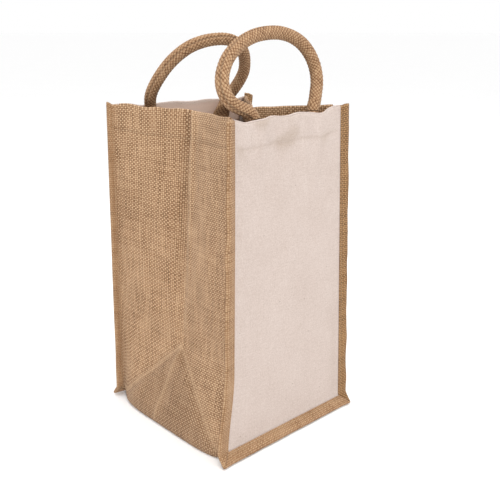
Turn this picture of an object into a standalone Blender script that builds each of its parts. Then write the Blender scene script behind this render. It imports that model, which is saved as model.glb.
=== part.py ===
"""Four-bottle gift bag: canvas panels, jute gussets and base, bound seams, two padded rope handles.

Metres, +Z up. The front panel faces -Y. The origin is on the floor under the middle of the base.
Each cloth piece is a mid-surface laid out in cloth coordinates and given its thickness by Solidify.
"""
import bmesh
import bpy
from math import asin, cos, hypot, pi, radians, sin, sqrt
from mathutils import Vector

# Overall sizes
PANEL_WIDTH = 0.165          # front and back panel, between the side seams
BAG_DEPTH = 0.182            # gusset, from the front seam to the back seam
BAG_HEIGHT = 0.340           # floor to rim

# How the standing bag's mouth has closed up
MOUTH_WIDTH = 0.160          # between the side seams at the rim, measured straight
MOUTH_SHIFT = 0.003          # the mouth leans this far to +X
LEFT_FOLD = 0.023            # left gusset's crease, inside its seams at the rim
RIGHT_FOLD = 0.056
APEX_FOLD = 0.0155           # where the creases of the flat fold meet, inside the seams

# Cloth
CANVAS = 0.0010
JUTE = 0.0013
TAPE = 0.0010
GAP = 0.0003                 # between two pieces that touch
LAYER_GAP = 0.0005           # between the layers of a bound seam, which twists a little
HEM_DEPTH = 0.027
HEM_ALLOWANCE = 0.0016       # mid-surface of the turned-in layer behind the outer one
HEM_END = 0.009              # the turned-in layer stops this far from a side seam

# Bound seams, which stand out from the corners like a picture frame
FLANGE = 0.0135              # seam line to the tape's folded edge
ALLOWANCE = 0.0110           # cloth inside the folded tape
TURN_BOTTOM = radians(6)     # a side flange turns out of its panel's plane
TURN_TOP = radians(18)
BOTTOM_TURN = radians(38)    # the bottom flange turns out from the vertical
TAPE_EDGE = 0.0022           # the tape's edges stop short of the seam line
MITRE_GAP = 0.0011
FLOOR_RUN = 0.032            # the base comes up from the floor over this length

# Handles
HANDLE_RADIUS = 0.0063
COVER = 0.0011
TAIL_LENGTH = 0.036
TAIL_WIDTH = 0.022
TAIL_THICK = 0.0032
TAIL_SLANT = radians(12)     # the tails close towards each other below the rim
LEG_SPREAD = 0.092           # between the legs of one handle, at the rim
LEG_CLEAR = 0.0012           # rope to the hem at the rim
END_GAP = 0.0005             # between a neck and the pieces that it joins
NECK_BELOW = 0.004           # the rope bends between this far below the rim
NECK_ABOVE = 0.013           # and this far above it
PIVOT_RISE = 0.0020          # it bends over the rim about a line this far above it
FRONT_LEAN = radians(-14)    # a handle's lean outwards from upright
BACK_LEAN = radians(-36)

# Routes of the two loops, in the loop's own plane: along the rim, and up from it
FRONT_ROUTE = [(-0.046, 0.000), (-0.052, 0.010), (-0.063, 0.018), (-0.073, 0.027), (-0.077, 0.040),
               (-0.067, 0.054), (-0.047, 0.065), (-0.022, 0.073), (0.005, 0.076), (0.032, 0.073),
               (0.051, 0.062), (0.060, 0.046), (0.060, 0.028), (0.053, 0.012), (0.046, 0.000)]
BACK_ROUTE = [(-0.046, 0.000), (-0.050, 0.012), (-0.051, 0.026), (-0.047, 0.042), (-0.038, 0.058),
              (-0.024, 0.071), (-0.007, 0.080), (0.013, 0.084), (0.033, 0.079), (0.047, 0.067),
              (0.054, 0.051), (0.056, 0.035), (0.054, 0.021), (0.050, 0.010), (0.046, 0.000)]

# Thread
THREAD = 0.00035             # radius
BINDING_STITCH = 0.0032      # from the tape's inner edge
STITCH_RISE = GAP + THREAD   # thread's middle above the cloth's face

LEFT, RIGHT = -1, 1
FRONT, BACK = -1, 1
UP = Vector((0, 0, 1))

HALF_DEPTH = BAG_DEPTH / 2
STACK = (CANVAS + JUTE) / 2 + LAYER_GAP                 # panel to gusset, inside a bound seam
TAPE_OUT = (CANVAS + TAPE) / 2 + LAYER_GAP              # panel to the tape on its outer side
TAPE_IN = STACK + (JUTE + TAPE) / 2 + LAYER_GAP         # panel to the tape on the gusset's side
SEAM_RISE = FLANGE * cos(BOTTOM_TURN) + (TAPE_IN + TAPE / 2) * sin(BOTTOM_TURN) + 0.0002
HEM_FACE = HEM_ALLOWANCE + CANVAS / 2                   # inner face of a hem, from the mid-surface
LEG_OFFSET = HEM_FACE + LEG_CLEAR + HANDLE_RADIUS       # rope's middle, inside the panel
STITCH_ROW = HEM_DEPTH - 0.002                          # hem's stitches, below the rim

JUTE_TAN = (0.47, 0.31, 0.17)
CANVAS_CREAM = (0.80, 0.72, 0.66)
TAPE_TAN = (0.53, 0.36, 0.20)
ROPE_TAN = (0.56, 0.38, 0.21)
THREAD_CREAM = (0.72, 0.60, 0.45)


# ---------------------------------------------------------------- scene helpers
def clear_scene():
    for obj in list(bpy.data.objects):
        bpy.data.objects.remove(obj, do_unlink=True)


def make_material(name, colour, roughness):
    material = bpy.data.materials.new(name)
    material.use_nodes = True
    shader = material.node_tree.nodes["Principled BSDF"]
    shader.inputs["Base Color"].default_value = (*colour, 1)
    shader.inputs["Roughness"].default_value = roughness
    shader.inputs["Metallic"].default_value = 0.0
    return material


def add_object(name, data, material):
    obj = bpy.data.objects.new(name, data)
    bag.objects.link(obj)
    data.materials.append(material)
    return obj


def thicken(obj, thickness, offset=0.0):
    solid = obj.modifiers.new("Thickness", "SOLIDIFY")
    solid.thickness = thickness
    solid.offset = offset
    solid.use_even_offset = True
    return obj


def make_sheet(name, across, along, surface, thickness, material, hem=None):
    """A grid over the cloth coordinates in across and along, placed by surface(a, b)."""
    mesh = bmesh.new()
    columns, rows = len(across) - 1, len(along) - 1
    bmesh.ops.create_grid(mesh, x_segments=columns, y_segments=rows, size=0.5)
    top = {}
    for vert in mesh.verts:
        column = round((vert.co.x + 0.5) * columns)
        row = round((vert.co.y + 0.5) * rows)
        if row == rows:
            top[vert] = across[column]
        vert.co = surface(across[column], along[row])
    if hem:
        turn_in_hem(mesh, top, hem)
    bmesh.ops.recalc_face_normals(mesh, faces=mesh.faces[:])
    data = bpy.data.meshes.new(name)
    mesh.to_mesh(data)
    mesh.free()
    return thicken(add_object(name, data, material), thickness)


def turn_in_hem(mesh, top, hem):
    """Folds the rim over to the inside, between hem's first and last cloth coordinate."""
    first, last, inward, downward = hem
    inside = {vert for vert, a in top.items() if first - 1e-6 <= a <= last + 1e-6}
    edges = [edge for edge in mesh.edges if set(edge.verts) <= inside and edge.is_boundary]
    place = {vert: top[vert] for vert in inside}
    for shift, scale in ((inward, HEM_ALLOWANCE), (downward, HEM_DEPTH)):
        old = sorted({vert for edge in edges for vert in edge.verts}, key=lambda vert: place[vert])
        made = bmesh.ops.extrude_edge_only(mesh, edges=edges)["geom"]
        fresh = [item for item in made if isinstance(item, bmesh.types.BMVert)]
        place = {vert: place[min(old, key=lambda v: (v.co - vert.co).length)] for vert in fresh}
        edges = [item for item in made if isinstance(item, bmesh.types.BMEdge)]
        for vert in fresh:
            vert.co += shift(place[vert]) * scale


def spread(start, end, count):
    return [start + (end - start) * i / count for i in range(count + 1)]


# ---------------------------------------------------------------- shape of the standing bag
def fold_at_rim(side):
    return LEFT_FOLD if side == LEFT else RIGHT_FOLD


def mouth_corner(side, face):
    """Top of a side seam. A gusset that folds in draws its two seams together."""
    half = {s: sqrt(HALF_DEPTH ** 2 - fold_at_rim(s) ** 2) for s in (LEFT, RIGHT)}
    reach = sqrt(MOUTH_WIDTH ** 2 - (half[LEFT] - half[RIGHT]) ** 2) / 2
    return Vector((MOUTH_SHIFT + side * reach, face * half[side], BAG_HEIGHT))


def seam(side, face, height):
    """Side seam at a cloth height measured from the bottom seam."""
    foot = Vector((side * PANEL_WIDTH / 2, face * HALF_DEPTH, SEAM_RISE))
    return foot.lerp(mouth_corner(side, face), height / (BAG_HEIGHT - SEAM_RISE))


def panel_axes(face, height):
    """Unit vectors along the panel to +X, and out of it, at a height."""
    along = (seam(RIGHT, face, height) - seam(LEFT, face, height)).normalized()
    return along, Vector((-along.y, along.x, 0)) * face


def flange_axes(side, face, height):
    """Unit vectors along a side flange away from the seam, and across it to the gusset's side."""
    along, outward = panel_axes(face, height)
    share = height / (BAG_HEIGHT - SEAM_RISE)
    turn = TURN_BOTTOM + (TURN_TOP - TURN_BOTTOM) * share
    away = along * side * cos(turn) + outward * sin(turn)
    return away, along * side * sin(turn) - outward * cos(turn)


def bottom_axes(face):
    """Unit vectors along the bottom flange away from the seam, and across it to the base's side."""
    outward = Vector((0, face, 0))
    away = outward * sin(BOTTOM_TURN) - UP * cos(BOTTOM_TURN)
    return away, -outward * cos(BOTTOM_TURN) - UP * sin(BOTTOM_TURN)


def frame_point(face, a, b, offset=0.0):
    """Panel and flange surface: a across from the left seam, b up from the bottom seam.

    Past a seam the surface turns into the flange. The offset is towards the inside of the bag.
    """
    height = max(b, 0.0)
    inside = min(max(a, 0.0), PANEL_WIDTH)
    point = seam(LEFT, face, height).lerp(seam(RIGHT, face, height), inside / PANEL_WIDTH)
    across = -panel_axes(face, height)[1]
    if a != inside:
        side = LEFT if a < 0 else RIGHT
        away, across = flange_axes(side, face, height)
        point += away * abs(a - inside)
    if b < 0:
        away, below = bottom_axes(face)
        point -= away * b
        across = (across + below).normalized() if a != inside else below
    return point + across * offset


def crease_top(side):
    """Top of a gusset's centre crease, at the cloth's own length from the apex."""
    front, back = mouth_corner(side, FRONT), mouth_corner(side, BACK)
    point = Vector((front.x - side * fold_at_rim(side), 0, 0))
    apex = gusset_apex(side)
    sideways = hypot(point.x - apex.x, point.y - apex.y)
    point.z = apex.z + sqrt((BAG_HEIGHT - HALF_DEPTH) ** 2 - sideways ** 2)
    return point


def gusset_apex(side):
    """Where the two diagonal creases of the flat fold meet the centre crease."""
    return Vector((side * (PANEL_WIDTH / 2 - APEX_FOLD), 0, sqrt(HALF_DEPTH ** 2 - APEX_FOLD ** 2)))


def base_underside(y):
    """Height of the base's underside: flat on the floor, rising to the bottom seams."""
    seam_y = HALF_DEPTH - STACK * cos(BOTTOM_TURN)
    seam_z = SEAM_RISE - STACK * sin(BOTTOM_TURN) - JUTE / 2
    rise = max(abs(y) - (seam_y - FLOOR_RUN), 0) / FLOOR_RUN
    return seam_z * min(rise, 1) ** 2


def gusset_seam(side, face, height):
    return seam(side, face, height) + flange_axes(side, face, height)[1] * STACK


def gusset_point(side, a, b):
    """Gusset surface: a back from the front seam, b up the cloth."""
    full = BAG_HEIGHT - SEAM_RISE
    height = b * full / BAG_HEIGHT
    if a < 0 or a > BAG_DEPTH:
        face = FRONT if a < 0 else BACK
        spare = -a if a < 0 else a - BAG_DEPTH
        return gusset_seam(side, face, height) + flange_axes(side, face, height)[0] * spare
    face = FRONT if a <= HALF_DEPTH else BACK
    reach = HALF_DEPTH - abs(a - HALF_DEPTH)
    edge = gusset_seam(side, face, height)
    if b >= HALF_DEPTH:
        share = (b - HALF_DEPTH) / (BAG_HEIGHT - HALF_DEPTH)
        crease = gusset_apex(side).lerp(crease_top(side), share)
        return edge.lerp(crease, reach / HALF_DEPTH)
    diagonal = {f: gusset_seam(side, f, 0).lerp(gusset_apex(side), b / HALF_DEPTH) for f in (FRONT, BACK)}
    if reach < b:
        point = edge.lerp(diagonal[face], reach / b)
    else:
        point = diagonal[FRONT].lerp(diagonal[BACK], (a - b) / (BAG_DEPTH - 2 * b))
    drop = max(gusset_seam(side, face, 0).z - base_underside(point.y) - GAP, 0)
    point.z -= drop * max(1 - b / HALF_DEPTH, 0) * min(reach / HEM_END, 1)
    return point


def gusset_normal(side, a, b):
    """Unit vector into the bag from the gusset, and along the bisector at the centre crease."""
    step = 0.004
    low, high = max(a - step, 0), min(a + step, BAG_DEPTH)
    up = gusset_point(side, a, b) - gusset_point(side, a, b - step)
    normals = []
    for start, end in ((low, a), (a, high)):
        if end - start > step / 2:
            tangent = gusset_point(side, end, b) - gusset_point(side, start, b)
            normals.append(tangent.cross(up).normalized() * -side)
    total = sum(normals, Vector()).normalized()
    return total / total.dot(normals[0])


# ---------------------------------------------------------------- cloth pieces
def make_panel(name, face, material):
    top = BAG_HEIGHT - SEAM_RISE
    across = [-ALLOWANCE, 0.0, HEM_END, *spread(0.024, PANEL_WIDTH - 0.024, 5),
              PANEL_WIDTH - HEM_END, PANEL_WIDTH, PANEL_WIDTH + ALLOWANCE]
    along = [-ALLOWANCE, *spread(0.0, top - STITCH_ROW, 8), top]
    outward = panel_axes(face, top)[1]
    slope = (frame_point(face, PANEL_WIDTH / 2, top - HEM_DEPTH) - frame_point(face, PANEL_WIDTH / 2, top))
    hem = (HEM_END, PANEL_WIDTH - HEM_END, lambda a: -outward, lambda a: slope / HEM_DEPTH)
    return make_sheet(name, across, along, lambda a, b: frame_point(face, a, b), CANVAS, material, hem)


def gusset_columns():
    half = [0.0, HEM_END, *spread(0.0, HALF_DEPTH, 4)[1:]]
    return [*half, *(BAG_DEPTH - a for a in reversed(half[:-1]))]


def make_gusset(name, side, material):
    across = [-ALLOWANCE, *gusset_columns(), BAG_DEPTH + ALLOWANCE]
    along = [*spread(0.0, HALF_DEPTH, 4), *spread(HALF_DEPTH, BAG_HEIGHT - STITCH_ROW, 6)[1:], BAG_HEIGHT]

    def downward(a):
        fall = gusset_point(side, a, BAG_HEIGHT - HEM_DEPTH) - gusset_point(side, a, BAG_HEIGHT)
        return fall / HEM_DEPTH

    hem = (HEM_END, BAG_DEPTH - HEM_END, lambda a: gusset_normal(side, a, BAG_HEIGHT), downward)
    return make_sheet(name, across, along, lambda a, b: gusset_point(side, a, b), JUTE, material, hem)


def make_base(name, material):
    edge = PANEL_WIDTH / 2 - JUTE / 2 - LAYER_GAP
    seam_y = HALF_DEPTH - STACK * cos(BOTTOM_TURN)
    flat = seam_y - FLOOR_RUN
    rise = spread(flat, seam_y, 5)
    along = [-seam_y - ALLOWANCE, *(-y for y in reversed(rise)), -flat / 2, 0.0, flat / 2, *rise,
             seam_y + ALLOWANCE]

    def surface(x, y):
        face = FRONT if y < 0 else BACK
        spare = abs(y) - seam_y
        inside = min(abs(y), seam_y) * face
        point = Vector((x, inside, base_underside(inside) + JUTE / 2))
        return point + bottom_axes(face)[0] * spare if spare > 0 else point

    return make_sheet(name, spread(-edge, edge, 4), along, surface, JUTE, material)


def binding_profile():
    """Folded tape across a flange: distance from the seam, and offset towards the inside."""
    fold = FLANGE - TAPE / 2
    return [(TAPE_EDGE, -TAPE_OUT), (fold - TAPE, -TAPE_OUT), (fold, -TAPE_OUT + TAPE),
            (fold, TAPE_IN - TAPE), (fold - TAPE, TAPE_IN), (TAPE_EDGE, TAPE_IN)]


def make_side_binding(name, side, face, material):
    """Folded tape over a side seam, mitred where it meets the bottom one."""
    profile = binding_profile()
    heights = [None, *spread(0.0, BAG_HEIGHT - SEAM_RISE, 9)]

    def surface(k, row):
        reach, offset = profile[k]
        a = -reach if side == LEFT else PANEL_WIDTH + reach
        b = heights[row] if row else MITRE_GAP - reach
        return frame_point(face, a, b, offset)

    return make_sheet(name, range(len(profile)), range(len(heights)), surface, TAPE, material)


def make_bottom_binding(name, face, material):
    profile = binding_profile()
    places = [None, *spread(0.0, PANEL_WIDTH, 6), None]

    def surface(k, row):
        reach, offset = profile[k]
        if row == 0:
            a = MITRE_GAP - reach
        elif row == len(places) - 1:
            a = PANEL_WIDTH + reach - MITRE_GAP
        else:
            a = places[row]
        return frame_point(face, a, -reach, offset)

    return make_sheet(name, range(len(profile)), range(len(places)), surface, TAPE, material)


# ---------------------------------------------------------------- cords and threads
def smooth_route(points, spacing):
    """Points along a Catmull-Rom curve through the given ones."""
    ends = [points[0] * 2 - points[1], *points, points[-1] * 2 - points[-2]]
    route = []
    for p0, p1, p2, p3 in zip(ends, ends[1:], ends[2:], ends[3:]):
        steps = max(1, round((p2 - p1).length / spacing))
        for i in range(steps):
            t = i / steps
            route.append(0.5 * (2 * p1 + (p2 - p0) * t + (2 * p0 - 5 * p1 + 4 * p2 - p3) * t ** 2
                                + (3 * p1 - p0 - 3 * p2 + p3) * t ** 3))
    return [*route, points[-1]]


def make_tube(name, points, radius, sides_level, material, capped=True):
    """A round bar or, uncapped, an open tube surface along the points."""
    curve = bpy.data.curves.new(name, "CURVE")
    curve.dimensions = "3D"
    curve.bevel_depth = radius
    curve.bevel_resolution = sides_level
    curve.render_resolution_u = 0
    curve.use_fill_caps = capped
    spline = curve.splines.new("POLY")
    spline.points.add(len(points) - 1)
    for slot, point in zip(spline.points, points):
        slot.co = (*point, 1)
    if capped:
        return add_object(name, curve, material)
    guide = bpy.data.objects.new(name + "_guide", curve)
    bag.objects.link(guide)
    evaluated = guide.evaluated_get(bpy.context.evaluated_depsgraph_get())
    data = bpy.data.meshes.new_from_object(evaluated)
    bpy.data.objects.remove(guide, do_unlink=True)
    data.name = name
    return add_object(name, data, material)


def rim_frame(face):
    """Middle of the rope's line along a rim, with unit vectors along and out of the panel."""
    along, outward = panel_axes(face, BAG_HEIGHT - SEAM_RISE)
    middle = mouth_corner(LEFT, face).lerp(mouth_corner(RIGHT, face), 0.5)
    return middle - outward * LEG_OFFSET, along, outward


def leg_axes(side, face):
    """Where a leg crosses the rim, and unit vectors down its tail, out of the panel and across."""
    middle, along, outward = rim_frame(face)
    down = (-UP * cos(TAIL_SLANT) - along * side * sin(TAIL_SLANT)).normalized()
    return middle + along * side * LEG_SPREAD / 2, down, outward, outward.cross(down).normalized()


def tail_place(side, face, share):
    """Middle of a tail at a share of its length. It lies closer to the panel as it flattens."""
    rim, down, outward, _ = leg_axes(side, face)
    closer = LEG_OFFSET - HEM_FACE - GAP - TAIL_THICK / 2
    return rim + down * TAIL_LENGTH * share + outward * closer * flatness(share)


def flatness(share):
    """How far a tail has changed from the round rope to the flat end that is sewn down."""
    reached = min(share * 1.6, 1)
    return reached ** 2 * (3 - 2 * reached)


def tail_size(share):
    """Half width and half thickness of a tail."""
    flat = flatness(share)
    return (HANDLE_RADIUS + (TAIL_WIDTH / 2 - HANDLE_RADIUS) * flat,
            HANDLE_RADIUS + (TAIL_THICK / 2 - HANDLE_RADIUS) * flat)


def handle_line(face, route, lean):
    """The whole handle's centreline, from tail to tail, and its plane's normal above the rim."""
    middle, along, outward = rim_frame(face)
    up = outward * sin(lean) + UP * cos(lean)
    loop = [middle + along * u + up * w for u, w in route]
    left, right = ([tail_place(side, face, share) for share in (1, 0.6, 0.3)] for side in (LEFT, RIGHT))
    return smooth_route([*left, *loop, *reversed(right)], 0.0065), along.cross(up).normalized()


def path_length(points):
    return sum((after - before).length for before, after in zip(points, points[1:]))


def cut_path(points, start, end):
    """The stretch of a path between two distances along it."""
    piece, travelled = [], 0.0
    for before, after in zip(points, points[1:]):
        step = (after - before).length
        for mark in (start, end):
            if travelled <= mark < travelled + step:
                piece.append(before.lerp(after, (mark - travelled) / step))
        if start < travelled + step < end:
            piece.append(after)
        travelled += step
    return piece


def middle_of_step(points, distance):
    """Distance to the middle of the straight step that holds a distance along the path."""
    travelled = 0.0
    for before, after in zip(points, points[1:]):
        step = (after - before).length
        if travelled + step > distance:
            return travelled + step / 2
        travelled += step
    return travelled


def neck_ends(points, side, face):
    """Distances along a handle's centreline to the neck's end below the rim and the one above."""
    rim = leg_axes(side, face)[0]
    nearest = min(range(len(points)), key=lambda i: (points[i] - rim).length)
    mark = path_length(points[:nearest + 1])
    return [middle_of_step(points, mark + side * offset) for offset in (NECK_BELOW, -NECK_ABOVE)]


def make_handle(word, face, route, lean, cover_material, rope_material, thread_material):
    """The loop above the rim: a core of rope in a woven cover that is sewn shut along its outside."""
    points, plane_normal = handle_line(face, route, lean)
    ends = {side: neck_ends(points, side, face) for side in (LEFT, RIGHT)}
    loop = cut_path(points, ends[LEFT][1] + END_GAP / 2, ends[RIGHT][1] - END_GAP / 2)
    cover = make_tube(word + "_handle_cover", loop, HANDLE_RADIUS - COVER / 2, 4, cover_material,
                      capped=False)
    thicken(cover, COVER)
    make_tube(word + "_handle_rope", loop, HANDLE_RADIUS - COVER - LAYER_GAP, 3, rope_material)
    middle = sum(loop, Vector()) / len(loop)
    seam_line = []
    for before, point, after in zip(loop[1:], loop[2:], loop[3:]):
        out = (after - before).cross(plane_normal).normalized()
        if out.dot(point - middle) < 0:
            out.negate()
        seam_line.append(point + out * (HANDLE_RADIUS + STITCH_RISE))
    make_tube(word + "_handle_seam", seam_line, THREAD, 1, thread_material)
    for side, side_word in ((LEFT, "_left"), (RIGHT, "_right")):
        start, end = sorted(ends[side])
        neck = cut_path(points, start + END_GAP / 2, end - END_GAP / 2)
        make_tube(word + side_word + "_handle_neck", neck, HANDLE_RADIUS, 4, cover_material)
    hang_on_pivot(word, face)
    return points, ends


def hang_on_pivot(word, face):
    """Parents the loop's pieces to an empty on the line that the rope bends about."""
    middle, along, outward = rim_frame(face)
    pivot = bpy.data.objects.new(word + "_handle_pivot", None)
    pivot.location = middle + outward * LEG_OFFSET + UP * PIVOT_RISE
    pivot.rotation_euler.z = asin(along.y)
    bag.objects.link(pivot)
    bpy.context.view_layer.update()
    for part in ("_handle_cover", "_handle_rope", "_handle_seam"):
        piece = bpy.data.objects[word + part]
        piece.parent = pivot
        piece.matrix_parent_inverse = pivot.matrix_world.inverted()


def make_tail(name, side, face, line, end, material):
    """The handle's end below the rim, lofted from round to flat along the rope's own line."""
    _, _, outward, _ = leg_axes(side, face)
    if side == LEFT:
        stretch = cut_path(line, 0, end - END_GAP / 2)[::-1]
    else:
        stretch = [*cut_path(line, end + END_GAP / 2, path_length(line)), line[-1]]
    mesh = bmesh.new()
    sides = 14
    travelled = NECK_BELOW
    rings = len(stretch)
    for i, point in enumerate(stretch):
        before, after = stretch[max(i - 1, 0)], stretch[min(i + 1, rings - 1)]
        travelled += (point - before).length
        along = (after - before).normalized()
        across = along.cross(outward).normalized()
        normal = across.cross(along)
        half_width, half_thick = tail_size(min(travelled / TAIL_LENGTH, 1))
        for k in range(sides):
            turn = 2 * pi * k / sides
            mesh.verts.new(point + across * half_width * cos(turn) + normal * half_thick * sin(turn))
    mesh.verts.ensure_lookup_table()
    for i in range(rings - 1):
        for k in range(sides):
            j = (k + 1) % sides
            corners = (i * sides + k, i * sides + j, (i + 1) * sides + j, (i + 1) * sides + k)
            mesh.faces.new([mesh.verts[c] for c in corners])
    bmesh.ops.holes_fill(mesh, edges=mesh.edges[:])
    bmesh.ops.recalc_face_normals(mesh, faces=mesh.faces[:])
    data = bpy.data.meshes.new(name)
    mesh.to_mesh(data)
    mesh.free()
    return add_object(name, data, material)


def make_tail_stitch(name, side, face, material):
    """A zigzag row across the flat end of a tail, on its inner face."""
    _, _, outward, across = leg_axes(side, face)
    level = -outward * (TAIL_THICK / 2 + STITCH_RISE)
    points = []
    for i, step in enumerate(spread(-0.32, 0.32, 8)):
        place = tail_place(side, face, 0.74 if i % 2 else 0.92)
        points.append(place + across * TAIL_WIDTH * step + level)
    return make_tube(name, points, THREAD, 1, material)


def make_hem_stitches(material):
    top = BAG_HEIGHT - SEAM_RISE
    for word, face in (("front", FRONT), ("back", BACK)):
        rise = -(CANVAS / 2 + STITCH_RISE)
        level = top - STITCH_ROW
        points = [frame_point(face, a, level, rise) for a in spread(0.004, PANEL_WIDTH - 0.004, 8)]
        make_tube(word + "_hem_stitch", points, THREAD, 1, material)
    for word, side in (("left", LEFT), ("right", RIGHT)):
        points = []
        level = BAG_HEIGHT - STITCH_ROW
        for a in [0.004, *gusset_columns()[1:-1], BAG_DEPTH - 0.004]:
            out = gusset_normal(side, a, level) * -(JUTE / 2 + STITCH_RISE)
            points.append(gusset_point(side, a, level) + out)
        make_tube(word + "_hem_stitch", points, THREAD, 1, material)


def make_binding_stitches(material):
    """One row of thread per panel, down one side, along the bottom and up the other."""
    top = BAG_HEIGHT - SEAM_RISE
    reach = TAPE_EDGE + BINDING_STITCH
    rise = -(TAPE_OUT + TAPE / 2 + STITCH_RISE)
    for word, face in (("front", FRONT), ("back", BACK)):
        down = [frame_point(face, -reach, b, rise) for b in spread(top - 0.004, 0.006, 8)]
        foot = [frame_point(face, a, -reach, rise) for a in spread(0.002, PANEL_WIDTH - 0.002, 6)]
        up = [frame_point(face, PANEL_WIDTH + reach, b, rise) for b in spread(0.006, top - 0.004, 8)]
        make_tube(word + "_binding_stitch", [*down, *foot, *up], THREAD, 1, material)


def build():
    jute = make_material("jute", JUTE_TAN, 0.9)
    canvas = make_material("canvas", CANVAS_CREAM, 0.85)
    tape = make_material("jute_tape", TAPE_TAN, 0.9)
    webbing = make_material("handle_webbing", ROPE_TAN, 0.85)
    thread = make_material("thread", THREAD_CREAM, 0.7)
    make_panel("front_panel", FRONT, canvas)
    make_panel("back_panel", BACK, canvas)
    make_gusset("left_gusset", LEFT, jute)
    make_gusset("right_gusset", RIGHT, jute)
    make_base("base_panel", jute)
    handles = (("front", FRONT, FRONT_ROUTE, FRONT_LEAN), ("back", BACK, BACK_ROUTE, BACK_LEAN))
    for word, face, route, lean in handles:
        line, ends = make_handle(word, face, route, lean, webbing, jute, thread)
        for side_word, side in (("left", LEFT), ("right", RIGHT)):
            make_side_binding(f"{word}_{side_word}_binding", side, face, tape)
            make_tail(f"{word}_{side_word}_handle_tail", side, face, line, ends[side][0], webbing)
            make_tail_stitch(f"{word}_{side_word}_tail_stitch", side, face, thread)
        make_bottom_binding(f"{word}_bottom_binding", face, tape)
    make_hem_stitches(thread)
    make_binding_stitches(thread)


clear_scene()
bag = bpy.data.collections.new("wine_gift_bag")
bpy.context.scene.collection.children.link(bag)
build()
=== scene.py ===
"""Jute and canvas gift bag for four bottles: the visual model, in the CAD model's frame."""

import bpy
import numpy as np
from math import cos, pi, radians, sin
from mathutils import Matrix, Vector, noise


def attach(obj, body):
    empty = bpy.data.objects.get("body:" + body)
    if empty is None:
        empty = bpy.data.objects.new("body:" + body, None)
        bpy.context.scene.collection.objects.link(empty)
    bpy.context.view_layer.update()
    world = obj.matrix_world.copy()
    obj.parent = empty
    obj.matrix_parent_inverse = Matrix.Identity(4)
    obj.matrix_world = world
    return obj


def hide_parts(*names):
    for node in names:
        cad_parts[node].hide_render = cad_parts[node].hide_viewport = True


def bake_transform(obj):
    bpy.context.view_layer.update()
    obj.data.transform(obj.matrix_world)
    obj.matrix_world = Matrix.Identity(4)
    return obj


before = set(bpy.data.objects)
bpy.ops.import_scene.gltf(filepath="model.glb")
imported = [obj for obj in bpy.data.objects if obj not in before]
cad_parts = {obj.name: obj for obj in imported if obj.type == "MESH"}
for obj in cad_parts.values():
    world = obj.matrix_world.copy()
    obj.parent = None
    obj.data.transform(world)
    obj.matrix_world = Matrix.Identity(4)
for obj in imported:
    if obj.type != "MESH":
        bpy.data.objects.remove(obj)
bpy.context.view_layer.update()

# ---------------------------------------------------------------- sizes, in metres
WIDTH = 0.165                # front and back panel, between the side seams
DEPTH = 0.182                # gusset, from seam to seam
RIM = 0.3396                 # height of the rim at the side seams
HEM = 0.026                  # depth of the hem that is turned inside
HEM_END = 0.004              # a hem stops this far from the seams
CANVAS, JUTE, TAPE = 0.0009, 0.0012, 0.0010    # thickness of each cloth
FLANGE = 0.0138              # a seam to the tape's folded edge
TAPE_EDGE = 0.0012           # a seam to the tape's inner edge
STITCH_COLUMN = 4            # point of the tape's section that the stitches run along
FOOT = 0.0130                # height of the bottom seams
PANEL_TOP = RIM - FOOT       # height of the rim above the bottom seams
ALLOWANCE = np.array([0.0025, 0.005, 0.008, 0.011])    # rows of canvas beyond a seam, inside the tape
PANEL_ROWS = np.concatenate([-ALLOWANCE[::-1], np.linspace(0, PANEL_TOP - 0.045, 80),
                             np.linspace(PANEL_TOP - 0.042, PANEL_TOP - 0.001, 18)])
FLANGE_TURN = 0.003          # a seam allowance takes this far to turn away from its panel
BOTTOM_TURN = radians(38)    # how far the bottom seams point outwards
TURN_FOOT = radians(6)       # how far the side seams turn outwards, at the foot
FLOOR_RUN = 0.012            # from the bottom seam to where the strip lies on the floor
ROPE = 0.0063                # radius of a handle
LEG_OFFSET = 0.0096          # rope's middle, inside the panel
LEG_SPREAD = 0.092           # between a handle's legs, at the rim
TAIL_LENGTH = 0.036          # of a handle below the rim, sewn inside the panel
TAIL_HALF_WIDE, TAIL_HALF_THICK = 0.0110, 0.0017
RING_STEP, AROUND = 0.00062, 66    # between the rings of a handle, and points in a ring
TAIL_CUT = 6                 # rings from a leg's foot down to the cut where its tail begins
BRAID_TURNS = 10             # threads of each diagonal around a handle
SEAM_AT = 0.84 * pi          # where the sleeve's closing seam runs, around the handle
APEX_FOLD, APEX_HEIGHT = 0.0155, 0.0909    # tip of the triangle at a gusset's foot

LEFT, RIGHT, FRONT, BACK = -1, 1, -1, 1
# top and bottom of the side seams, seen from above
CORNER = {(LEFT, FRONT): (-0.0704, -0.0893), (RIGHT, FRONT): (0.0887, -0.0733),
          (LEFT, BACK): (-0.0765, 0.0950), (RIGHT, BACK): (0.0887, 0.0733)}
FOOT_CORNER = {(LEFT, FRONT): (-0.0825, -0.0910), (RIGHT, FRONT): (0.0825, -0.0910),
               (LEFT, BACK): (-0.0862, 0.0955), (RIGHT, BACK): (0.0825, 0.0910)}
# left end of the line that a handle's legs stand on
HANDLE_LEFT = {FRONT: (-0.0704, -0.0893), BACK: (-0.0730, 0.0908)}
FOOT_SWELL = {LEFT: 0.0115, RIGHT: 0.0050}    # how far the strip bulges at the foot of a gusset
# width of a side binding against FLANGE, and how far it turns outwards at the rim
FLANGE_SHARE = {(LEFT, FRONT): 1.0, (RIGHT, FRONT): 1.0, (LEFT, BACK): 0.58, (RIGHT, BACK): 1.0}
TURN_RIM = {(LEFT, FRONT): radians(24), (RIGHT, FRONT): radians(11),
            (LEFT, BACK): radians(31), (RIGHT, BACK): radians(20)}
# how far a tape's top end stands above the rim, at its inner edge and at its fold
TAPE_LIFT = {(LEFT, FRONT): (0.0, 0.0005), (RIGHT, FRONT): (0.0, 0.0018), (LEFT, BACK): (0.0, 0.0030),
             (RIGHT, BACK): (0.0040, 0.0008)}
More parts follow.
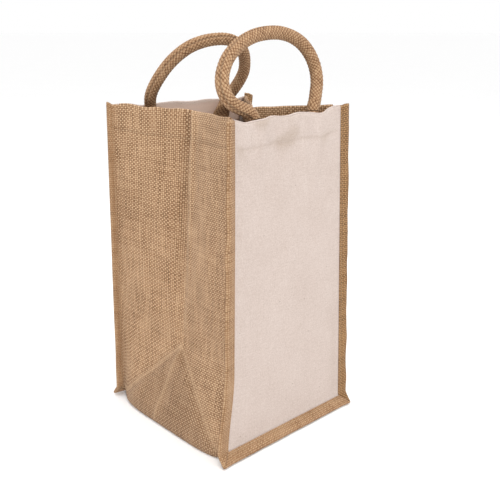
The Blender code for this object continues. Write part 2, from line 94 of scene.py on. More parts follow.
# upper end of each gusset's middle crease
CREASE_TOP = {LEFT: (-0.0470, 0.0, 0.3380), RIGHT: (0.0345, 0.0, 0.3355)}
# sideways bow of the side seams
BOW = {(LEFT, FRONT): (0.0034, -0.0030), (RIGHT, FRONT): (-0.0010, -0.0010),
       (LEFT, BACK): (0.0010, 0.0015), (RIGHT, BACK): (-0.0010, 0.0015)}
# how far the canvas rim dips along the panel, from the left seam
RIM_DIP = [(0.0, 0.0), (0.016, 0.0040), (0.024, 0.0036), (0.040, 0.0024), (0.053, 0.0014), (0.069, 0.0028),
           (0.079, 0.0029), (0.092, 0.0014), (0.111, 0.0025), (0.137, 0.0042), (0.146, 0.0012), (0.165, -0.0004)]
# the handles' loops, along the rim and up from it
FRONT_ROUTE = [(-0.0460, 0.0), (-0.0555, 0.0062), (-0.0655, 0.0105), (-0.0738, 0.0175), (-0.0770, 0.0275),
               (-0.0754, 0.0362), (-0.0708, 0.0444), (-0.0635, 0.0526), (-0.0525, 0.0603), (-0.0395, 0.0665),
               (-0.0253, 0.0710), (-0.0111, 0.0734), (0.0055, 0.0744), (0.0196, 0.0735), (0.0335, 0.0700),
               (0.0460, 0.0635), (0.0550, 0.0545), (0.0602, 0.0441), (0.0616, 0.0335), (0.0600, 0.0235),
               (0.0555, 0.0137), (0.0509, 0.0050), (0.0470, 0.0)]
BACK_ROUTE = [(-0.0500, 0.0), (-0.0522, 0.0090), (-0.0522, 0.0196), (-0.0497, 0.0322), (-0.0449, 0.0464),
              (-0.0392, 0.0570), (-0.0318, 0.0662), (-0.0225, 0.0735), (-0.0104, 0.0785), (0.0016, 0.0808),
              (0.0146, 0.0810), (0.0270, 0.0780), (0.0385, 0.0706), (0.0480, 0.0600), (0.0545, 0.0470),
              (0.0571, 0.0357), (0.0562, 0.0233), (0.0529, 0.0110), (0.0485, 0.0)]
LEAN = {FRONT: radians(-14), BACK: radians(-36)}    # of a loop out of the bag, so these lean inwards
BEND_HEIGHT = {FRONT: 0.016, BACK: 0.030}    # how far up its legs a handle bends when it is laid over
# heights of the cloth's own waves and folds
PANEL_WAVES = dict(swell=0.0016, broad=0.0010, fine=0.0004, pucker=0.0009, leg=0.0016, hem=0.0008)
STRIP_WAVES = dict(broad=0.0018, middle=0.0008, fine=0.00025, swell=0.0020, ridge=0.0010, fold_out=0.0028,
                   fold_in=0.0024, line=0.0012, stem=0.0010, corner=0.0030, hem=0.0005, ruffle=0.0022)
BRAID = dict(height=0.00064, groove=0.0011, groove_width=0.0009, lip=0.00035, lip_place=0.0020, lip_width=0.0011)


# ---------------------------------------------------------------- small helpers
def unit(v):
    return v / np.maximum(np.linalg.norm(v, axis=-1, keepdims=True), 1e-12)


def vec(*xyz):
    return np.array(xyz, float)


def soft(x, lo, hi):
    """0 up to lo, 1 from hi, and a smooth step between."""
    t = np.clip((np.asarray(x, float) - lo) / (hi - lo), 0, 1)
    return t * t * (3 - 2 * t)


def bell(x, width):
    """1 at zero, falling off smoothly to both sides."""
    return np.exp(-(x / width) ** 2)


def noise_at(points, scale, seed):
    return np.array([noise.noise(Vector(p) * scale + Vector((seed, 0.37 * seed, 0))) for p in points])


def cloth_noise(across, up, scale, seed, stretch=(1, 1, 1)):
    """Smooth noise over a flat sheet."""
    places = np.stack([across, up, across * 0], -1).reshape(-1, 3) * vec(*stretch)
    return noise_at(places, scale, seed).reshape(across.shape)


def curve_table(table, x):
    """Smooth interpolation of a small table."""
    xs, ys = np.array([t[0] for t in table]), np.array([t[1] for t in table])
    slope = np.gradient(ys, xs)
    i = np.clip(np.searchsorted(xs, x) - 1, 0, len(xs) - 2)
    h = xs[i + 1] - xs[i]
    t = np.clip((x - xs[i]) / h, 0, 1)
    return ((1 + 2 * t) * (1 - t) ** 2 * ys[i] + t * (1 - t) ** 2 * h * slope[i]
            + t * t * (3 - 2 * t) * ys[i + 1] + t * t * (t - 1) * h * slope[i + 1])


def normals_of(grid):
    """Unit normal at each point of a grid."""
    du = np.gradient(grid, axis=1)
    dv = np.gradient(grid, axis=0)
    return unit(np.cross(du, dv))


def relax(grid, rounds, keep_columns, keep_rows, step=0.6):
    """Rounds the creases of a folded sheet, with its seams left where they are."""
    weight = np.ones(grid.shape[:2])
    weight[:, keep_columns] = 0
    weight[keep_rows, :] = 0
    for _ in range(rounds):
        near = grid.copy()
        near[1:-1, 1:-1] = (grid[:-2, 1:-1] + grid[2:, 1:-1] + grid[1:-1, :-2] + grid[1:-1, 2:]) / 4
        grid = grid + (near - grid) * weight[..., None] * step
    return grid


def mesh_object(name, verts, faces, material, body="bag", uvs=None):
    """A mesh that rides on a body, or is left unattached with no body."""
    data = bpy.data.meshes.new(name)
    data.from_pydata([tuple(v) for v in verts], [], faces)
    if uvs is not None:
        layer = data.uv_layers.new(name="cloth")
        index = np.empty(len(data.loops), int)
        data.loops.foreach_get("vertex_index", index)
        layer.data.foreach_set("uv", np.asarray(uvs, float)[index].ravel())
    data.shade_smooth()
    data.materials.append(material)
    obj = bpy.data.objects.new(name, data)
    bpy.context.scene.collection.objects.link(obj)
    if body:
        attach(obj, body)
    return obj


def grid_faces(rows, columns, wrap=False):
    faces = []
    for i in range(rows - 1):
        for j in range(columns - (0 if wrap else 1)):
            k = (j + 1) % columns
            faces.append((i * columns + j, i * columns + k, (i + 1) * columns + k, (i + 1) * columns + j))
    return faces


def cloth(name, grid, uv, thickness, material, creases=None, tones=None):
    """A closed sheet of even thickness about a grid of points, thinner at its edges."""
    rows, columns = grid.shape[:2]
    normal = normals_of(grid)
    rim = np.zeros((rows, columns), bool)
    rim[[0, -1], :] = True
    rim[:, [0, -1]] = True
    half = np.where(rim, thickness * 0.30, thickness * 0.5)[..., None]
    top, bottom = (grid + normal * half).reshape(-1, 3), (grid - normal * half).reshape(-1, 3)
    count = rows * columns
    faces = grid_faces(rows, columns)
    faces += [tuple(count + i for i in reversed(f)) for f in grid_faces(rows, columns)]
    loop = [*range(columns), *(i * columns + columns - 1 for i in range(1, rows)),
            *(rows * columns - 1 - j for j in range(1, columns)), *(i * columns for i in range(rows - 2, 0, -1))]
    for a, b in zip(loop, [*loop[1:], loop[0]]):
        faces.append((b, a, count + a, count + b))
    obj = mesh_object(name, np.vstack([top, bottom]), faces, material, uvs=np.vstack([uv.reshape(-1, 2)] * 2))
    # "crease" marks painted light (crease highlights and the hem's bounce light); "tone" marks darkening, painted
    # shade in most places
    for word, field in (("crease", creases), ("tone", tones)):
        mark = obj.data.attributes.new(word, "FLOAT", "POINT")
        values = np.zeros(count) if field is None else field.ravel()
        mark.data.foreach_set("value", np.concatenate([values, values]).astype(np.float32))
    return obj


# ---------------------------------------------------------------- shape of the standing bag
def seam(side, face, height):
    """Side seam, for heights from the bottom seam up, with a slight bow."""
    height = np.asarray(height, float)
    t = np.clip(height / PANEL_TOP, 0, 1.05)[..., None]
    foot = vec(*FOOT_CORNER[side, face], FOOT)
    top = vec(*CORNER[side, face], RIM)
    bow = vec(*BOW[side, face], 0) * soft(t, 0, 0.26) * np.maximum(1 - t, 0) ** 0.8 * 1.25
    return foot + (top - foot) * t + bow


def panel_axes(face, height):
    along = unit(seam(RIGHT, face, height) - seam(LEFT, face, height))
    along = unit(along * vec(1, 1, 0))
    outward = np.stack([-along[..., 1], along[..., 0], np.zeros(along.shape[:-1])], axis=-1) * face
    return along, outward


def flange_axes(side, face, height):
    along, outward = panel_axes(face, height)
    share = np.clip(np.asarray(height, float) / PANEL_TOP, 0, 1)
    turn = (TURN_FOOT + (TURN_RIM[side, face] - TURN_FOOT) * share ** 1.3)[..., None]
    return (along * side * np.cos(turn) + outward * np.sin(turn),
            along * side * np.sin(turn) - outward * np.cos(turn))


def frame_point(face, a, b, offset=0.0):
    """Panel and flanges: a across from the left seam, b up from the bottom seam, offset inwards."""
    a, b = np.broadcast_arrays(np.asarray(a, float), np.asarray(b, float))
    offset = np.broadcast_to(np.asarray(offset, float), a.shape)[..., None]
    height, inside = np.maximum(b, 0), np.clip(a, 0, WIDTH)
    share = (inside / WIDTH)[..., None]
    point = seam(LEFT, face, height) * (1 - share) + seam(RIGHT, face, height) * share
    across = -panel_axes(face, height)[1]
    for side, out in ((LEFT, np.maximum(-a, 0)), (RIGHT, np.maximum(a - WIDTH, 0))):
        away, over = flange_axes(side, face, height)
        turned = soft(out, 0, FLANGE_TURN)[..., None]
        point = point + away * out[..., None]
        across = unit(across * (1 - turned) + over * turned)
    below = np.maximum(-b, 0)[..., None]
    outward = vec(0, face, 0)
    point = point + (outward * sin(BOTTOM_TURN) - vec(0, 0, cos(BOTTOM_TURN))) * below
    down = -outward * cos(BOTTOM_TURN) - vec(0, 0, sin(BOTTOM_TURN))
    turned = soft(below, 0, FLANGE_TURN)
    side_part = ((a < 0) | (a > WIDTH))[..., None] * 0.5
    across = unit(across * (1 - turned * (1 - side_part)) + down * turned * (1 - side_part))
    return point + across * offset


def rim_dip(face, a):
    table = RIM_DIP if face == FRONT else [(WIDTH - x, y * 0.6) for x, y in reversed(RIM_DIP)]
    return curve_table(table, np.clip(a, 0, WIDTH))


def gusset_seam(side, face, height):
    return seam(side, face, height) + flange_axes(side, face, height)[1] * ((CANVAS + JUTE) / 2)


def base_underside(y):
    """Height of the strip's underside: on the floor, and rising to the bottom seams."""
    seam_y, seam_z = 0.0900, FOOT - 0.0017
    rise = np.clip((np.abs(y) - (seam_y - FLOOR_RUN)) / FLOOR_RUN, 0, 1)
    return seam_z * rise ** 2


def foot_swell(side, y, share):
    """Sideways bulge of the strip; share is 1 at the fold between gusset and base."""
    half_depth = 0.0905
    return side * FOOT_SWELL[side] * np.maximum(1 - np.abs(y / half_depth) ** 6, 0) * share


def gusset_apex(side):
    return vec(side * (WIDTH / 2 - APEX_FOLD), 0, APEX_HEIGHT)


def gusset_point(side, a, b):
    """One point of a gusset: a back from the front seam, b up the cloth."""
    half = DEPTH / 2
    height = b * PANEL_TOP / RIM
    face = FRONT if a <= half else BACK
    reach = half - abs(a - half)
    edge = gusset_seam(side, face, height)
    if reach < 0:
        return edge + flange_axes(side, face, height)[0] * -reach
    apex = gusset_apex(side)
    if b >= half:
        crease = apex + (vec(*CREASE_TOP[side]) - apex) * (b - half) / (RIM - half)
        return edge + (crease - edge) * reach / half
    diagonal = {f: gusset_seam(side, f, 0.0) * (1 - b / half) + apex * (b / half) for f in (FRONT, BACK)}
    if reach < b:
        point = edge + (diagonal[face] - edge) * reach / b
    else:
        point = diagonal[FRONT] + (diagonal[BACK] - diagonal[FRONT]) * (a - b) / (DEPTH - 2 * b)
    seam_run = 0.009
    drop = max(gusset_seam(side, face, 0.0)[2] - base_underside(point[1]), 0) * min(reach / seam_run, 1)
    low = max(1 - b / half, 0)
    return point + vec(foot_swell(side, point[1], low), 0, -drop * low)


# ---------------------------------------------------------------- materials
class Nodes:
    """A short way to write node trees."""

    def __init__(self, name):
        self.material = bpy.data.materials.new(name)
        self.material.use_nodes = True
        self.tree = self.material.node_tree
        self.shader = self.tree.nodes["Principled BSDF"]
        self.shader.inputs["Specular IOR Level"].default_value = 0.18

    def put(self, socket, value):
        if isinstance(value, bpy.types.NodeSocket):
            self.tree.links.new(value, socket)
        else:
            socket.default_value = value

    def add(self, kind, **inputs):
        """A node; inputs are given by name, or by number as i0, i1 and so on."""
        node = self.tree.nodes.new(kind)
        for key, value in inputs.items():
            self.put(node.inputs[int(key[1:]) if key[1:].isdigit() else key], value)
        return node

    def attribute(self, word):
        node = self.add("ShaderNodeAttribute")
        node.attribute_name = word
        return node.outputs["Fac"]

    def math(self, operation, *values, clamp=False):
        node = self.add("ShaderNodeMath", **{f"i{k}": v for k, v in enumerate(values)})
        node.operation = operation
        node.use_clamp = clamp
        return node.outputs[0]

    def noise(self, vector, scale, detail=2.0, rough=0.5):
        node = self.add("ShaderNodeTexNoise", Vector=vector, Scale=scale, Detail=detail, Roughness=rough)
        return node.outputs["Fac"]

    def vector(self, x, y, z=0.0):
        return self.add("ShaderNodeCombineXYZ", X=x, Y=y, Z=z).outputs[0]

    def mix(self, factor, a, b):
        node = self.tree.nodes.new("ShaderNodeMix")
        node.data_type = "RGBA"
        for slot, value in ((0, factor), (6, a), (7, b)):
            self.put(node.inputs[slot], (*value, 1) if isinstance(value, tuple) else value)
        return node.outputs[2]

    def ramp(self, factor, stops):
        node = self.add("ShaderNodeValToRGB", Fac=factor)
        ramp = node.color_ramp
        while len(ramp.elements) < len(stops):
            ramp.elements.new(0.5)
        for element, (place, colour) in zip(ramp.elements, stops):
            element.position = place
            element.color = (*colour, 1)
        return node.outputs[0]

    def weave(self, pitch, pitch_up, wobble):
        """Thread coordinates of a plain weave: heights, which thread is on top, and a shade per thread."""
        place = self.add("ShaderNodeUVMap")
        place.uv_map = "cloth"
        parts = self.add("ShaderNodeSeparateXYZ", i0=place.outputs[0])
        wave = self.add("ShaderNodeTexNoise", Vector=place.outputs[0], Scale=0.09 / pitch, Detail=1.0)
        split = self.add("ShaderNodeSeparateColor", i0=wave.outputs["Color"])
        u = self.math("DIVIDE", parts.outputs[0], pitch)
        v = self.math("DIVIDE", parts.outputs[1], pitch_up)
        u = self.math("ADD", u, self.math("MULTIPLY", split.outputs[0], wobble * 8))
        v = self.math("ADD", v, self.math("MULTIPLY", split.outputs[1], wobble * 8))
        su = self.math("SINE", self.math("MULTIPLY", u, pi))
        sv = self.math("SINE", self.math("MULTIPLY", v, pi))
        warp, weft = self.math("ABSOLUTE", su), self.math("ABSOLUTE", sv)
        over = self.math("MULTIPLY_ADD", self.math("MULTIPLY", su, sv), 2.2, 0.5, clamp=True)
        shade_u = self.noise(self.vector(u, self.math("MULTIPLY", v, 0.07), 3.1), 0.9, 2.0, 0.6)
        shade_v = self.noise(self.vector(self.math("MULTIPLY", u, 0.07), v, 8.7), 0.9, 2.0, 0.6)
        return u, v, warp, weft, over, shade_u, shade_v

    def lerp(self, a, b, t):
        return self.math("MULTIPLY_ADD", self.math("SUBTRACT", b, a), t, a)

    def bump(self, height, distance):
        node = self.add("ShaderNodeBump", Height=height, Distance=distance, Strength=1.0)
        self.tree.links.new(node.outputs[0], self.shader.inputs["Normal"])

    def colour(self, socket, rough=0.9):
        self.tree.links.new(socket, self.shader.inputs["Base Color"])
        self.shader.inputs["Roughness"].default_value = rough


def jute_material(name, pitch, pitch_up, dark, base, light, wobble=0.05, depth=0.00035, contrast=1.0, checker=-0.30,
                  crease_highlight=0.55, ribbed=0.0):
    """Coarse weave with uneven threads, with a painted highlight along the creases, partly lighter worn threads, and
    dark where it is shaded.
    """
    n = Nodes(name)
    u, v, warp, weft, over, shade_u, shade_v = n.weave(pitch, pitch_up, wobble)
    body = n.lerp(weft, warp, over)
    height = n.math("MULTIPLY_ADD", n.math("MULTIPLY", warp, weft), 0.5, n.math("MULTIPLY", body, 0.5))
    height = n.lerp(height, weft, ribbed) if ribbed else height
    shade = n.lerp(shade_v, shade_u, over)
    fibre = n.noise(n.vector(u, v, 0.0), 2.6, 3.0, 0.7)
    cloud = n.noise(n.vector(u, v, 5.0), 0.05, 3.0, 0.6)
    level = n.math("MULTIPLY_ADD", height, 0.70 * contrast, -0.28 * contrast)
    level = n.math("MULTIPLY_ADD", over, checker, n.math("ADD", level, -checker / 2))
    level = n.math("MULTIPLY_ADD", shade, 0.95, n.math("ADD", level, -0.475))
    level = n.math("MULTIPLY_ADD", fibre, 0.50, n.math("ADD", level, -0.25))
    level = n.math("MULTIPLY_ADD", cloud, 0.30, n.math("ADD", level, 0.32))
    thread = n.ramp(level, [(0.08, dark), (0.45, base), (0.85, light)])
    # painted highlight: where "crease" is set the colour turns to the light thread colour, partly lighter worn
    # threads; "tone" darkens it towards the shadow colour
    lit = n.math("MULTIPLY", n.attribute("crease"), crease_highlight)
    dim = n.math("MULTIPLY", n.attribute("tone"), 0.30)
    shadow = tuple(c * k for c, k in zip(base, (0.42, 0.46, 0.58)))
    n.colour(n.mix(lit, n.mix(dim, thread, shadow), light), 0.92)
    n.bump(n.math("MULTIPLY_ADD", fibre, 0.20, height), depth)
    n.shader.inputs["Sheen Weight"].default_value = 0.08
    return n.material


def canvas_material(name, pitch, dark, base, light, fleck, inside):
    """Fine weave with dark flecks; "tone" paints shade on it, partly real smudges, and "crease" paints a warm bounce
    light with the lighter inside colour.
    """
    n = Nodes(name)
    u, v, warp, weft, over, shade_u, shade_v = n.weave(pitch, pitch, 0.06)
    body = n.lerp(weft, warp, over)
    height = n.math("MULTIPLY_ADD", n.math("MULTIPLY", warp, weft), 0.4, n.math("MULTIPLY", body, 0.6))
    shade = n.lerp(shade_v, shade_u, over)
    cloud = n.noise(n.vector(u, v, 2.0), 0.02, 3.0, 0.5)
    grain = n.noise(n.vector(u, v, 7.0), 0.55, 3.0, 0.75)
    level = n.math("MULTIPLY_ADD", shade, 0.55, n.math("MULTIPLY_ADD", cloud, 0.20, -0.40))
    level = n.math("MULTIPLY_ADD", grain, 1.05, level)
    thread = n.ramp(level, [(0.15, dark), (0.5, base), (0.85, light)])
    hole = n.math("MULTIPLY", n.math("SUBTRACT", 1.0, n.math("MULTIPLY", height, 2.0, clamp=True)), 0.22)
    colour = n.mix(hole, thread, tuple(c * 0.6 for c in dark))
    seeds = n.add("ShaderNodeTexVoronoi", Vector=n.vector(u, v, 0.0), Scale=0.10)
    split = n.add("ShaderNodeSeparateColor", i0=seeds.outputs["Color"])
    size = n.math("MULTIPLY", n.math("SUBTRACT", split.outputs[0], 0.40, clamp=True), 0.18)
    spot = n.math("MULTIPLY", n.math("SUBTRACT", size, seeds.outputs["Distance"]), 40.0, clamp=True)
    shadow = tuple(c * k for c, k in zip(dark, (0.78, 0.74, 0.62)))
    # painted shade where "tone" is set, partly real smudges; painted warm bounce light where "crease" is set
    colour = n.mix(n.math("MULTIPLY", n.attribute("tone"), 0.35), colour, shadow)
    colour = n.mix(n.math("MULTIPLY", n.attribute("crease"), 0.70), colour, inside)
    n.colour(n.mix(n.math("MULTIPLY", spot, 0.50), colour, fleck), 0.88)
    n.bump(height, 0.00012)
    n.shader.inputs["Sheen Weight"].default_value = 0.06
    return n.material


def thread_material(name, base):
    n = Nodes(name)
    place = n.add("ShaderNodeTexCoord")
    grain = n.noise(place.outputs["Object"], 900.0, 2.0)
    n.colour(n.ramp(grain, [(0.3, tuple(c * 0.72 for c in base)), (0.7, base)]), 0.8)
    n.bump(grain, 0.0001)
    return n.material


jute = jute_material("jute", 0.00225, 0.00205, (0.075, 0.036, 0.015), (0.290, 0.154, 0.075),
                     (0.615, 0.418, 0.255))
tape = jute_material("jute_tape", 0.00215, 0.00205, (0.110, 0.056, 0.025), (0.300, 0.165, 0.082), (0.50, 0.335, 0.200),
                     wobble=0.05, depth=0.00025, contrast=0.75, checker=-0.12)
# a darker copy of the tape for the right bindings: painted shade
shaded_tape = jute_material("shaded_jute_tape", 0.00215, 0.00205, (0.042, 0.016, 0.005), (0.204, 0.100, 0.038),
                          (0.42, 0.25, 0.120), wobble=0.05, depth=0.00030, contrast=1.5, checker=-0.35)
webbing = jute_material("handle_webbing", 1.0, 1.0, (0.080, 0.037, 0.016), (0.262, 0.140, 0.070),
                        (0.47, 0.305, 0.175), wobble=0.0, depth=0.00014, contrast=0.90, checker=0.06,
                        crease_highlight=0.0, ribbed=0.15)
# the canvas "inside" colour is a painted warm bounce light, lighter than the canvas itself
canvas = canvas_material("canvas", 0.00080, (0.428, 0.337, 0.287), (0.564, 0.469, 0.420), (0.674, 0.593, 0.545),
                         fleck=(0.15, 0.09, 0.055), inside=(0.88, 0.655, 0.53))
cream = thread_material("thread", (0.44, 0.30, 0.18))
pale = thread_material("pale_thread", (0.60, 0.50, 0.44))


# ---------------------------------------------------------------- cloth pieces
def hem_profile(radius):
    """Extra rows past the rim: over the fold, then down the inside."""
    rows = [(radius * sin(t), radius * (1 - cos(t))) for t in np.linspace(0, pi, 6)[1:]]
    return rows + [(-d, 2 * radius) for d in np.linspace(0.003, HEM, 8)]


def make_panel(face, word):
    a = np.concatenate([-ALLOWANCE[::-1] * FLANGE_SHARE[LEFT, face], np.linspace(0, WIDTH, 56),
                        WIDTH + ALLOWANCE * FLANGE_SHARE[RIGHT, face]])
    top, waves = PANEL_TOP, PANEL_WAVES
    A, B = np.meshgrid(a, PANEL_ROWS)
    grid = frame_point(face, A, B)
    flat = np.stack([A, B], -1)
    outward = panel_axes(face, np.maximum(B, 0))[1]

    # the cloth swells between the seams, puckers at the hem and is pushed out by the handles' tails
    inner = soft(A, -0.001, 0.010) * soft(WIDTH - A, -0.001, 0.010) * soft(B, -0.001, 0.012)
    broad = cloth_noise(A, B, scale=17.0, seed=4.0 + face, stretch=(1, 0.45, 1))
    fine = cloth_noise(A, B, scale=62.0, seed=9.0 + face, stretch=(1, 0.30, 1))
    high = soft(B, top - 0.11, top - 0.01)
    swell = np.sin(np.clip(A / WIDTH, 0, 1) * pi) ** 0.6 * np.sin(np.clip(B / top, 0, 1) * pi) ** 0.6
    pucker = cloth_noise(A, B, scale=105.0, seed=14.0 + face, stretch=(1, 0.22, 1))
    hem_band = soft(B, top - 0.050, top - 0.022) * (1 - 0.5 * soft(B, top - 0.010, top))
    puff = inner * (waves["swell"] * swell + waves["broad"] * broad + waves["fine"] * fine * (0.6 + 2.2 * high)
                    + waves["pucker"] * pucker * hem_band)
    for leg in (0.5 - LEG_SPREAD / WIDTH / 2, 0.5 + LEG_SPREAD / WIDTH / 2):
        near = bell(A / WIDTH - leg, 0.075) * soft(B, top - 0.075, top - 0.012)
        puff += inner * near * waves["leg"]
    seam_pull = bell(B - (top - HEM), 0.0020) * inner
    puff -= seam_pull * waves["hem"] * (1 + 0.6 * np.sin(A * 2 * pi / 0.0075))
    grid = grid + outward * puff[..., None]
    dip = rim_dip(face, A) * soft(B, top - 0.060, top) * soft(A, -0.004, 0.003) * soft(WIDTH - A, -0.004, 0.003)
    grid[..., 2] -= dip

    # painted shade: soft marks near the hem (the shade of small wrinkles, partly real smudges), along the hem's
    # stitched line and down the lower right edge
    smudge_and_shade = soft(cloth_noise(A, B, scale=30.0, seed=41.0 + face, stretch=(1, 1.3, 1)), 0.05, 0.55)
    tone = smudge_and_shade * soft(B, top - 0.055, top - 0.020) + 0.5 * bell(B - top + HEM, 0.0014)
    tone = np.clip(tone + 0.8 * bell(WIDTH - A, 0.010) * soft(top * 0.5 - B, 0, 0.12), 0, 1) * inner

    # the hem, over the rim and down the inside
    inward = -outward[-1]
    lean = unit(grid[-1] - grid[-8])
    rows, uv = [], []
    for k, (rise, offset) in enumerate(hem_profile(0.0009)):
        taper = 0.002 * k / 8
        inset = np.clip(a, HEM_END + taper, WIDTH - HEM_END - taper) if k > 4 else a
        shift = (inset - a)[:, None] * panel_axes(face, top)[0]
        rows.append(grid[-1] + lean * rise + inward * offset * (1 if k <= 5 else 1.05) + shift)
        uv.append(np.stack([a, np.full_like(a, top + 0.0005 * k + max(-rise, 0))], -1))
    keep = slice(4, -4)
    body = cloth(word + "_canvas", grid, flat, CANVAS, canvas, tones=tone)
    hem = np.vstack([grid[-1:], np.array(rows)])[:, keep]
    # the rows down the inside of the hem get the painted warm bounce light
    inside = np.broadcast_to(soft(np.arange(len(hem)), 4.0, 7.0)[:, None], hem.shape[:2])
    fold = cloth(word + "_canvas_hem", hem, np.vstack([flat[-1:], np.array(uv)])[:, keep], CANVAS, canvas, inside)
    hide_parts(word + "_panel")
    return body, grid


def strip_rows():
    """The strip as folded facets: rows from the left rim, under the base, to the right rim."""
    edge = np.array([-0.007, -0.005, -0.003, 0.0, 0.003, 0.006])
    a = np.concatenate([edge, np.linspace(0.009, DEPTH - 0.009, 66), DEPTH - edge[::-1]])
    up = np.concatenate([np.linspace(0, 0.088, 27), np.linspace(APEX_HEIGHT, RIM - 0.03, 60),
                         np.linspace(RIM - 0.027, RIM, 12)])
    across = np.linspace(-WIDTH / 2, WIDTH / 2, 47)[1:-1]
    half_base = 0.0897
    rows, lengths = [], []
    for b in up[::-1]:
        rows.append([gusset_point(LEFT, x, b) for x in a])
        lengths.append(RIM - b)
    for x in across:
        y = (np.clip(a, 0, DEPTH) / DEPTH - 0.5) * 2 * half_base
        spare = np.maximum(np.maximum(-a, a - DEPTH), 0)
        swell = foot_swell(RIGHT if x > 0 else LEFT, y, soft(abs(x), WIDTH / 2 - 0.05, WIDTH / 2))
        rows.append([vec(x + w, yy + np.sign(yy) * sin(BOTTOM_TURN) * e,
                         base_underside(yy) + JUTE / 2 - cos(BOTTOM_TURN) * e) for w, yy, e in zip(swell, y, spare)])
        lengths.append(RIM + x + WIDTH / 2)
    for b in up:
        rows.append([gusset_point(RIGHT, x, b) for x in a])
        lengths.append(RIM + WIDTH + b)
    return a, np.array(lengths), np.array(rows)


def make_strip():
    """The two gussets and the base: one strip of jute from rim to rim."""
    a, lengths, grid = strip_rows()
    grid = relax(grid, 3, [0, 1, -1, -2], [0, -1])
    A, L = np.meshgrid(a, lengths)
    B = np.where(L < RIM, RIM - L, np.where(L > RIM + WIDTH, L - RIM - WIDTH, 0.0))
    half, waves = DEPTH / 2, STRIP_WAVES

    # loose waves
    inner = soft(A, 0.001, 0.014) * soft(DEPTH - A, 0.001, 0.014)
    wall = soft(B, 0.0, 0.03)
    broad = cloth_noise(A, L, scale=24.0, seed=2.0, stretch=(1, 0.7, 1))
    middle = cloth_noise(A, L, scale=58.0, seed=6.0, stretch=(1, 0.6, 1))
    fine = cloth_noise(A, L, scale=170.0, seed=3.0)
    puff = inner * wall * (waves["broad"] * broad + waves["middle"] * middle + waves["fine"] * fine)
    swell = np.sin(np.clip(np.abs(A - half) / half, 0, 1) * pi) * soft(B, 0.06, 0.14) * (1 - 0.6 * soft(B, 0.22, RIM))
    puff += inner * waves["swell"] * swell

    # the pressed middle crease, and the rolled fold that it opens into near the left rim
    ridge = bell(np.abs(A - half), 0.0035) * soft(B, half - 0.004, half + 0.03)
    puff -= ridge * waves["ridge"]
    left = (L < RIM) * soft(B, RIM - 0.24, RIM - 0.05)
    puff += bell(A - half + 0.0070, 0.0046) * left * waves["fold_out"]
    puff -= bell(A - half - 0.0045, 0.0050) * left * waves["fold_in"]

    # the triangle at the foot: its two sides and, on the left, a line down its middle
    diagonal = (half - np.abs(A - half)) - B
    below = (B < half) & (B > 0.002)
    line = bell(diagonal, 0.0022) * below
    stem = bell(A - half - 0.20 * (half - B), 0.0022) * below * (L < RIM)
    puff += (line * waves["line"] + stem * waves["stem"]) * soft(B, 0.0, 0.012)
    puff += soft(diagonal, 0.0, 0.014) * soft(B, 0.0, 0.020) * (B < half) * waves["corner"]

    normal = normals_of(grid)
    centre = (grid.shape[0] // 2, grid.shape[1] // 2)
    sign = 1.0 if normal[centre][2] < 0 else -1.0
    grid = grid + normal * sign * puff[..., None]
    pull = bell(B - (RIM - HEM), 0.0022) * inner
    grid = grid - normal * sign * (pull * waves["hem"])[..., None]
    ruffle = cloth_noise(A, L, scale=45.0, seed=11.0, stretch=(1, 0, 0))
    grid[..., 2] += (waves["ruffle"] * ruffle - 0.0006) * soft(B, RIM - 0.05, RIM) * inner

    # painted highlight along the creases and the rolled fold, partly lighter worn threads; painted shade in the valley
    # beside the fold, in the back corner and along the hem line; darker in the triangle
    middle_line = bell(A - half, 0.0018) * (B > half)
    crease = np.clip(0.8 * line + 0.6 * stem + 0.35 * middle_line * (1 - left), 0, 1)
    crease = np.maximum(crease, 0.45 * bell(A - half + 0.0075, 0.0030) * left)
    valley = bell(A - half - 0.0050, 0.0065) * left
    corner = bell(DEPTH - A, 0.010) * (1 - 0.75 * soft(B, 0.0, 0.15)) * soft(B, 0.0, 0.01)
    tone = np.clip(soft(diagonal, -0.012, 0.006) * (B < half) + 0.8 * valley + 0.7 * corner
                   + 0.7 * bell(B - RIM + HEM, 0.0013), 0, 1.3)
    strip = cloth("jute_strip", grid, np.stack([A, L], -1), JUTE, jute, crease, tone)
    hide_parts("left_gusset", "right_gusset", "base_panel")

    for word, rim_rows in (("left", grid[:8]), ("right", grid[::-1][:8])):
        inward = -normals_of(grid)[0 if word == "left" else -1] * sign
        top, lean = rim_rows[0], unit(rim_rows[0] - rim_rows[7])
        keep = (a > HEM_END) & (a < DEPTH - HEM_END)
        ring = [top] + [top + lean * rise + inward * offset for rise, offset in hem_profile(0.0010)]
        steps = [float(np.linalg.norm((q - p)[len(a) // 2])) for p, q in zip(ring, ring[1:])]
        flat = [np.stack([a, np.full_like(a, run)], -1) for run in np.cumsum([0, *steps])]
        piece = cloth(word + "_gusset_hem", np.array(ring)[:, keep], np.array(flat)[:, keep], JUTE, jute)
    return strip, grid, lengths


front_cloth, front_grid = make_panel(FRONT, "front")
back_cloth, back_grid = make_panel(BACK, "back")
strip, strip_grid, strip_lengths = make_strip()


# ---------------------------------------------------------------- bound seams
def tape_profile():
    """The folded tape's section: distance from the seam, and offset towards the inside of the bag."""
    out, inn = -(CANVAS + TAPE) / 2, CANVAS / 2 + JUTE + TAPE / 2
    fold_run = 0.0022
    stitch, fold = TAPE_EDGE + 0.0030, FLANGE - fold_run
    flat = np.concatenate([np.linspace(TAPE_EDGE, stitch, STITCH_COLUMN + 1), np.linspace(stitch, fold, 7)[1:]])
    behind = np.concatenate([np.linspace(TAPE_EDGE + 0.0016, stitch, STITCH_COLUMN + 1), flat[STITCH_COLUMN + 1:]])
    lift = (0.0004 * np.sin(np.clip((flat - stitch) / (FLANGE - stitch), 0, 1) * pi)
            - 0.0002 * bell(flat - stitch, 0.0010))
    middle, radius = (out + inn) / 2, (inn - out) / 2
    round_part = [(fold + fold_run * sin(t), middle - radius * cos(t)) for t in np.linspace(0, pi, 9)[1:-1]]
    outer = list(zip(flat, out - lift))
    inner = list(zip(behind[::-1], (inn + lift)[::-1]))
    return np.array(outer + round_part + inner)


